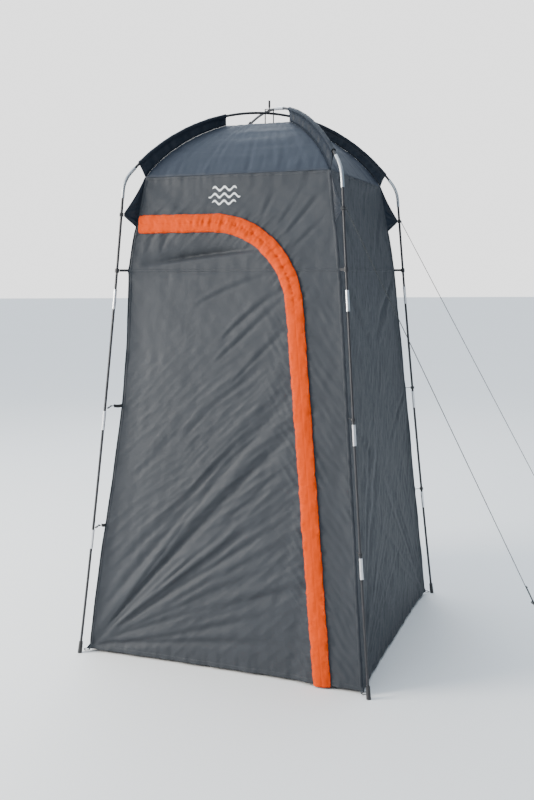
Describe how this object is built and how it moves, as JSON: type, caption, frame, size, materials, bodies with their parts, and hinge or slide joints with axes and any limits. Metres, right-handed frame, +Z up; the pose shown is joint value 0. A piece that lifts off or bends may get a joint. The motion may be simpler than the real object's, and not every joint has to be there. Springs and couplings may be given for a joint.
{
  "type": "privacy shower tent",
  "caption": "Square privacy shower tent hung inside two crossed arched poles, with a curved zip door under a contrast storm flap, corner hooks and guylines.",
  "frame": {"origin": "on the ground, below the crossing of the two poles, at the centre of the four pole feet", "axes": "+Z up, -Y towards the door side, +X to the right of someone who faces the door from outside"},
  "size_m": [1.8741, 1.8741, 2.219],
  "materials": {
    "wall_fabric": "matt coated polyester, plain weave",
    "roof_fabric": "matt coated polyester, plain weave",
    "dark_fabric": "dark navy coated polyester",
    "flap_fabric": "bright orange coated polyester",
    "webbing": "black ribbed webbing",
    "elastic": "white elastic shock cord",
    "guy_cord": "dark grey braided cord",
    "pole_rod": "black wrapped fibreglass, satin",
    "ferrule": "satin, lightly scuffed",
    "black_plastic": "moulded, satin",
    "zip_tape": "black zip tape with a nylon coil",
    "zip_metal": "black enamel",
    "steel": "zinc plated wire"
  },
  "bodies": {
    "tent": {"apex_tie": "webbing", "apex_toggle": "black_plastic", "corner_hooks": "black_plastic", "elbow_tubes": "ferrule", "foot_tips": "black_plastic", "front_wall_side": "wall_fabric", "front_wall_upper": "wall_fabric", "gusset_back_left": "dark_fabric", "gusset_back_right": "dark_fabric", "gusset_front_left": "dark_fabric", "gusset_front_right": "dark_fabric", "gusset_ties": "webbing", "guy_pegs": "steel", "guyline_back": "guy_cord", "guyline_front": "guy_cord", "hook_loops": "webbing", "leg_back_left": "pole_rod", "leg_back_right": "pole_rod", "leg_ferrules": "ferrule", "leg_front_left": "pole_rod", "leg_front_right": "pole_rod", "lower_wall_back": "wall_fabric", "lower_wall_left": "wall_fabric", "lower_wall_right": "wall_fabric", "peg_loops": "webbing", "roof_back": "roof_fabric", "roof_ferrules": "ferrule", "roof_front": "roof_fabric", "roof_left": "roof_fabric", "roof_pole_a": "pole_rod", "roof_pole_b": "pole_rod", "roof_right": "roof_fabric", "seam_clips": "black_plastic", "seam_tabs": "webbing", "shock_cord_a": "elastic", "shock_cord_b": "elastic", "shower_loop": "webbing", "sleeve_back_left": "dark_fabric", "sleeve_back_right": "dark_fabric", "sleeve_front_left": "dark_fabric", "sleeve_front_right": "dark_fabric", "upper_wall_back": "wall_fabric", "upper_wall_left": "wall_fabric", "upper_wall_right": "wall_fabric", "zip_half_frame": "zip_tape"},
    "door": {"door_upper": "wall_fabric", "door_lower": "wall_fabric", "zip_half_door": "zip_tape", "zip_flap": "flap_fabric"},
    "zip_slider_lower": {"zip_slider_lower": "zip_metal"},
    "zip_puller_lower": {"zip_puller_lower": "zip_metal"},
    "zip_slider_upper": {"zip_slider_upper": "zip_metal"},
    "zip_puller_upper": {"zip_puller_upper": "zip_metal"},
    "hook_upper": {"hook_upper": "black_plastic"},
    "hook_lower": {"hook_lower": "black_plastic"},
    "shower_hook": {"shower_hook": "steel"},
    "guy_runner_front": {"guy_runner_front": "black_plastic"},
    "guy_runner_back": {"guy_runner_back": "black_plastic"}
  },
  "joints": [
    {"name": "door_swing", "type": "hinge", "parent": "tent", "child": "door", "pos_m": [-0.5705, -0.5705, 0.012], "axis": [-0.0911, -0.0911, -0.9917], "range_deg": [0, 90]},
    {"name": "zip_lower_slide", "type": "slide", "parent": "door", "child": "zip_slider_lower", "axis": [-0.1089, 0.091, 0.9899], "range_m": [0, 1.3]},
    {"name": "zip_upper_slide", "type": "slide", "parent": "door", "child": "zip_slider_upper", "axis": [1, 0, 0], "range_m": [0, 0.25]},
    {"name": "puller_lower_swing", "type": "hinge", "parent": "zip_slider_lower", "child": "zip_puller_lower", "pos_m": [0.409, -0.56499, 0.072], "axis": [0, -0.9958, 0.0915], "range_deg": [-25, 25]},
    {"name": "puller_upper_swing", "type": "hinge", "parent": "zip_slider_upper", "child": "zip_puller_upper", "pos_m": [-0.352, -0.4043, 1.708], "axis": [0, -0.9889, 0.1483], "range_deg": [-25, 25]},
    {"name": "hook_upper_swing", "type": "hinge", "parent": "tent", "child": "hook_upper", "pos_m": [-0.48979, -0.48979, 0.998], "axis": [-0.7071, 0.7071, 0], "range_deg": [-45, 30]},
    {"name": "hook_lower_swing", "type": "hinge", "parent": "tent", "child": "hook_lower", "pos_m": [-0.5339, -0.5339, 0.518], "axis": [-0.7071, 0.7071, 0], "range_deg": [-45, 30]},
    {"name": "shower_hook_swing", "type": "hinge", "parent": "tent", "child": "shower_hook", "pos_m": [0, 0, 2.0887], "axis": [1, 0, 0], "range_deg": [-40, 40]},
    {"name": "guy_runner_front_slide", "type": "slide", "parent": "tent", "child": "guy_runner_front", "axis": [0.3833, 0.254, -0.888], "range_m": [-0.06, 0.15]},
    {"name": "guy_runner_back_slide", "type": "slide", "parent": "tent", "child": "guy_runner_back", "axis": [0.3867, 0.3867, -0.8372], "range_m": [-0.06, 0.15]}
  ]
}
